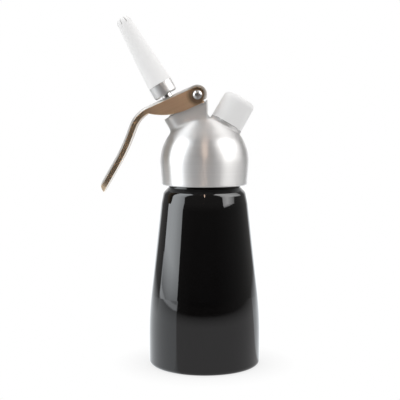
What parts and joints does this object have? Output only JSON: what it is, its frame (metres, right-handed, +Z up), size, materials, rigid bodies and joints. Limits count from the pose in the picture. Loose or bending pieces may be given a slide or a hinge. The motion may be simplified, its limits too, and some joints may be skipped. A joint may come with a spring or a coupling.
{
  "type": "whipped cream dispenser",
  "caption": "Hand-held whipped cream dispenser: tapered bottle under a screw-on domed head with a lever valve, a slanted decorating nozzle and a capped gas inlet.",
  "frame": {"origin": "centre of the bottle's standing ring, in the plane that it stands on", "axes": "+Z up along the bottle's axis, -X towards the nozzle and the lever, +X towards the gas port, Y along the lever's axle with the screw's head at -Y"},
  "size_m": [0.1053, 0.0744, 0.2318],
  "materials": {
    "bottle_lacquer": "gloss black lacquer",
    "head_aluminium": "satin, turned below and blasted above",
    "lever_steel": "satin",
    "axle_steel": "bright nickel plate",
    "valve_steel": "fine turned",
    "inlet_steel": "fine turned",
    "collar_aluminium": "satin",
    "tip_plastic": "frosted translucent",
    "cap_plastic": "frosted translucent",
    "seal_rubber": "matte silicone"
  },
  "bodies": {
    "bottle_body": {"bottle": "bottle_lacquer"},
    "head_body": {"head": "head_aluminium", "head_gasket": "seal_rubber", "stem_seal": "seal_rubber", "valve_spring": "valve_steel", "pivot_barrel": "axle_steel", "pivot_screw": "axle_steel", "gas_inlet_body": "inlet_steel", "inlet_seal_washer": "seal_rubber", "inlet_nut": "inlet_steel", "check_valve_sleeve": "seal_rubber", "piercing_pin": "inlet_steel", "charger_gasket": "seal_rubber"},
    "lever_body": {"lever": "lever_steel"},
    "valve_body": {"valve_spindle": "valve_steel", "piston_seal": "seal_rubber", "nozzle_adapter": "valve_steel"},
    "nozzle_body": {"tip_collar": "collar_aluminium", "decorating_tip": "tip_plastic"},
    "cap_body": {"port_cap": "cap_plastic"}
  },
  "joints": [
    {"name": "head_lift", "type": "slide", "parent": "bottle_body", "child": "head_body", "axis": [0, 0, 1], "range_m": [0, 0.06]},
    {"name": "lever_press", "type": "hinge", "parent": "head_body", "child": "lever_body", "pos_m": [-0.0046, 0, 0.18], "axis": [0, -1, 0], "range_deg": [0, 8], "stiffness_Nm_per_rad": 1.2, "springref_deg": -6.88, "deforming": ["valve_spring"]},
    {"name": "valve_slide", "type": "slide", "parent": "head_body", "child": "valve_body", "axis": [0.5, 0, -0.866], "range_m": [0, 0.0026]},
    {"name": "nozzle_off", "type": "slide", "parent": "valve_body", "child": "nozzle_body", "axis": [-0.5, 0, 0.866], "range_m": [0, 0.03]},
    {"name": "cap_off", "type": "slide", "parent": "head_body", "child": "cap_body", "axis": [0.5, 0, 0.866], "range_m": [0, 0.03]}
  ],
  "couplings": [
    {"joint": "valve_slide", "follows": "lever_press", "m_per_rad": 0.0183}
  ]
}
